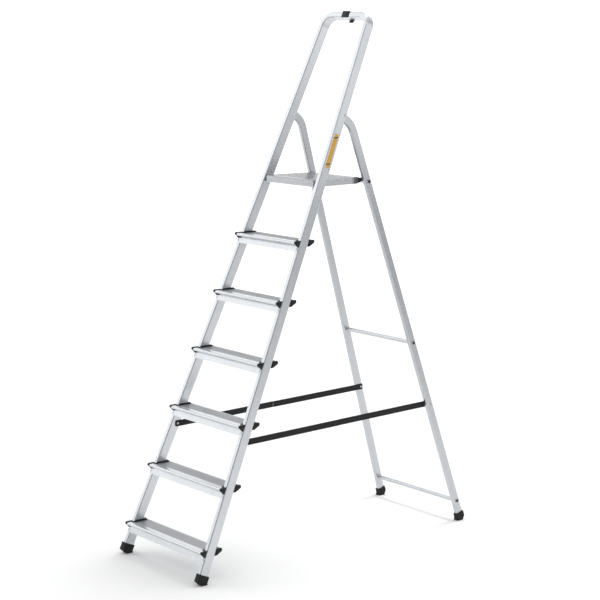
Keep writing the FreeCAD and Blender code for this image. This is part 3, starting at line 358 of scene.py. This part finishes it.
def soften(node, width, body, material):
    """Detailed stand-in for a moulding: the same shape with its edges rounded over."""
    mesh = NODES[node].data.copy()
    mesh.name = node + "_moulding"
    work = bmesh.new()
    work.from_mesh(mesh)
    bmesh.ops.remove_doubles(work, verts=work.verts, dist=WELD_DISTANCE)
    bmesh.ops.dissolve_limit(work, angle_limit=FLAT_ENOUGH, verts=work.verts, edges=work.edges)
    work.to_mesh(mesh)
    work.free()
    piece = bpy.data.objects.new(node + "_moulding", mesh)
    bpy.context.scene.collection.objects.link(piece)
    piece.matrix_world = NODES[node].matrix_world.copy()
    mesh.materials.clear()
    mesh.materials.append(material)
    rounding = piece.modifiers.new("rounding", "BEVEL")
    rounding.width = width
    rounding.segments = 3
    rounding.limit_method = "ANGLE"
    rounding.angle_limit = SHARP_EDGE
    for face in mesh.polygons:
        face.use_smooth = True
    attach(piece, body)
    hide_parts(node)


def soften_mouldings():
    for side in SIDES:
        for label, (width, body, slot, material) in MOULDINGS.items():
            soften(f"{label}_{side}", width, body, material)
        for number in range(1, TREAD_COUNT + 1):
            soften(f"tread_{number}_cap_{side}", CAP_ROUNDING, "front_frame",
                   BLACK_PLASTIC)
    soften("bucket_hook", HOOK_ROUNDING, "front_frame", BLACK_PLASTIC)


# ---------------------------------------------------------------- webbing straps

STRAP_WIDE = 0.025
STRAP_THICK = 0.0015
STRAP_LAP = 0.0095  # webbing beyond the rivet
STRAP_CORNER = 0.004
END_STOPS = (0.0, 0.0004, 0.001, 0.002, 0.003)  # rows of points around the rounded end
ROW_STEP = 0.0008
ACROSS_COUNT = 17
YARN = 0.0032
YARN_RISE = 0.00012


def strap_outline(along):
    """Half width at a distance from the strap's rivet end: the heat-cut end is rounded."""
    if along >= STRAP_CORNER:
        return STRAP_WIDE / 2
    rounded = math.sqrt(max(STRAP_CORNER ** 2 - (STRAP_CORNER - along) ** 2, 0))
    return STRAP_WIDE / 2 - STRAP_CORNER + rounded


def strap_points(anchor, toward, seat, length):
    """Both faces of one strap half: herringbone ribs, thin rolled edges and a cut end."""
    direction = (Vector(toward) - Vector(anchor)).normalized()
    upward = Vector((1, 0, 0)).cross(direction)
    row_count = int((length + STRAP_LAP - STRAP_CORNER) / ROW_STEP) + 1
    stops = [*END_STOPS, *(STRAP_CORNER + ROW_STEP * k for k in range(row_count))]
    stops.append(length + STRAP_LAP)
    rows = []
    for along in stops:
        half = strap_outline(along)
        ring = []
        for face in (1, -1):
            for k in range(ACROSS_COUNT):
                share = (k / (ACROSS_COUNT - 1) * 2 - 1) * face
                side = share * half
                ribs = math.sin(2 * math.pi * (along + abs(side)) / YARN)
                edge = min((1 - abs(share)) * 6, 1) ** 0.5
                rise = (STRAP_THICK / 2 - YARN_RISE) * (0.35 + 0.65 * edge) + YARN_RISE * ribs * edge
                spot = Vector(anchor) + direction * (along - STRAP_LAP) + upward * side
                ring.append((seat + face * rise, spot.y, spot.z))
        rows.append(ring)
    return rows


def make_strap_half(name, body, anchor, toward):
    """Woven stand-in for one CAD strap half, closed at both ends."""
    low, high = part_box(name)
    seat = (low[0] + high[0]) / 2
    length = (Vector(toward) - Vector(anchor)).length / 2
    rows = strap_points(anchor, toward, seat, length)
    count = len(rows[0])
    points = [point for row in rows for point in row]
    faces = []
    for number in range(len(rows) - 1):
        for k in range(count):
            a, b = number * count + k, number * count + (k + 1) % count
            faces.append((a, b, b + count, a + count))
    faces.append(tuple(range(count - 1, -1, -1)))
    faces.append(tuple(range(len(points) - count, len(points))))
    mesh = bpy.data.meshes.new(name + "_webbing")
    mesh.from_pydata(points, [], faces)
    mesh.validate()
    for face in mesh.polygons:
        face.use_smooth = True
    mesh.materials.append(WEBBING)
    strap = bpy.data.objects.new(name + "_webbing", mesh)
    bpy.context.scene.collection.objects.link(strap)
    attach(strap, body)
    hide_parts(name)


def make_straps():
    for side in SIDES:
        front = JOINTS[f"front_strap_{side}_turn"]["pos_m"]
        rear = JOINTS[f"rear_strap_{side}_turn"]["pos_m"]
        front, rear = (0, front[1], front[2]), (0, rear[1], rear[2])
        make_strap_half(f"strap_front_{side}", f"front_strap_{side}", front, rear)
        make_strap_half(f"strap_rear_{side}", f"rear_strap_{side}", rear, front)


# ---------------------------------------------------------------- stage, light and camera

def make_floor():
    """Pale floor that curves up into a softly glowing backdrop far behind the ladder."""
    material, tree, shader = new_material("studio_floor")
    cloud = noise(tree, coordinates(tree), 0.6, 2.0)
    tree.links.new(ramp(tree, cloud, [(0.3, 0.90), (0.7, 0.92)]), shader.inputs["Base Color"])
    shader.inputs["Roughness"].default_value = 0.9
    shader.inputs["Specular IOR Level"].default_value = 0.1
    split = add(tree, "ShaderNodeSeparateXYZ")
    tree.links.new(coordinates(tree, (1, 0.08, 1)), split.inputs[0])
    glow = ramp(tree, split.outputs["Y"], [(0.15, 0.0), (0.6, 0.5)])
    tree.links.new(glow, shader.inputs["Emission Color"])
    shader.inputs["Emission Strength"].default_value = 1.0
    reach, radius, height, steps = 9.0, 4.0, 9.0, 16
    profile = [(-reach * 2, 0.0)]
    for step in range(steps + 1):
        angle = math.pi / 2 * step / steps
        profile.append((reach + radius * math.sin(angle), radius * (1 - math.cos(angle))))
    profile.append((reach + radius, height))
    width = 30.0
    points = [(side * width, y, z) for y, z in profile for side in (-1, 1)]
    faces = [(2 * k, 2 * k + 1, 2 * k + 3, 2 * k + 2) for k in range(len(profile) - 1)]
    mesh = bpy.data.meshes.new("studio_floor")
    mesh.from_pydata(points, [], faces)
    for face in mesh.polygons:
        face.use_smooth = True
    mesh.materials.append(material)
    floor = bpy.data.objects.new("studio_floor", mesh)
    floor.rotation_euler = (0, 0, CAMERA_TURN)
    bpy.context.scene.collection.objects.link(floor)


def make_area_light(name, spot, target, size, power):
    """White softbox at spot, aimed at target."""
    light = bpy.data.lights.new(name, "AREA")
    light.shape = "RECTANGLE"
    light.size, light.size_y = size
    light.energy = power
    holder = bpy.data.objects.new(name, light)
    holder.location = spot
    holder.rotation_euler = (Vector(target) - Vector(spot)).to_track_quat("-Z", "Y").to_euler()
    bpy.context.scene.collection.objects.link(holder)


def make_world():
    """Studio surroundings: a bright ceiling over darker walls."""
    world = bpy.data.worlds.new("studio")
    world.use_nodes = True
    tree = world.node_tree
    background = tree.nodes["Background"]
    source = add(tree, "ShaderNodeTexCoord")
    split = add(tree, "ShaderNodeSeparateXYZ")
    tree.links.new(source.outputs["Generated"], split.inputs[0])
    glow = ramp(tree, split.outputs["Z"], [(0.0, (0.24, 0.25, 0.27)), (0.35, (0.38, 0.39, 0.41)),
                                           (0.62, (1.0, 1.0, 1.0))])
    tree.links.new(glow, background.inputs["Color"])
    background.inputs["Strength"].default_value = 0.90
    bpy.context.scene.world = world


CAMERA_SPOT = (5.1965, -4.1900, 2.0717)
CAMERA_TURN = math.radians(51.057)
CAMERA_DIP = math.radians(9.257)
CAMERA_LENS = 100.86
SENSOR_WIDTH = 36


def make_camera():
    data = bpy.data.cameras.new("camera")
    data.sensor_width = SENSOR_WIDTH
    data.lens = CAMERA_LENS
    camera = bpy.data.objects.new("camera", data)
    camera.location = CAMERA_SPOT
    camera.rotation_euler = (math.pi / 2 - CAMERA_DIP, 0, CAMERA_TURN)
    bpy.context.scene.collection.objects.link(camera)
    bpy.context.scene.camera = camera


paint_frame()
soften_mouldings()
make_straps()
make_camera()
make_floor()
make_world()
make_area_light("left_softbox", (-3.9, -2.7, 2.8), (0, 0, 1.2), (4, 4.2), 52)
make_area_light("right_softbox", (3.2, 2.7, 2.6), (0, 0, 1.4), (3.0, 2.4), 18)
make_area_light("top_softbox", (-0.1, 1.7, 4.6), (0, 0, 0.3), (1.1, 1.1), 78)
bpy.context.scene.view_settings.view_transform = "Standard"
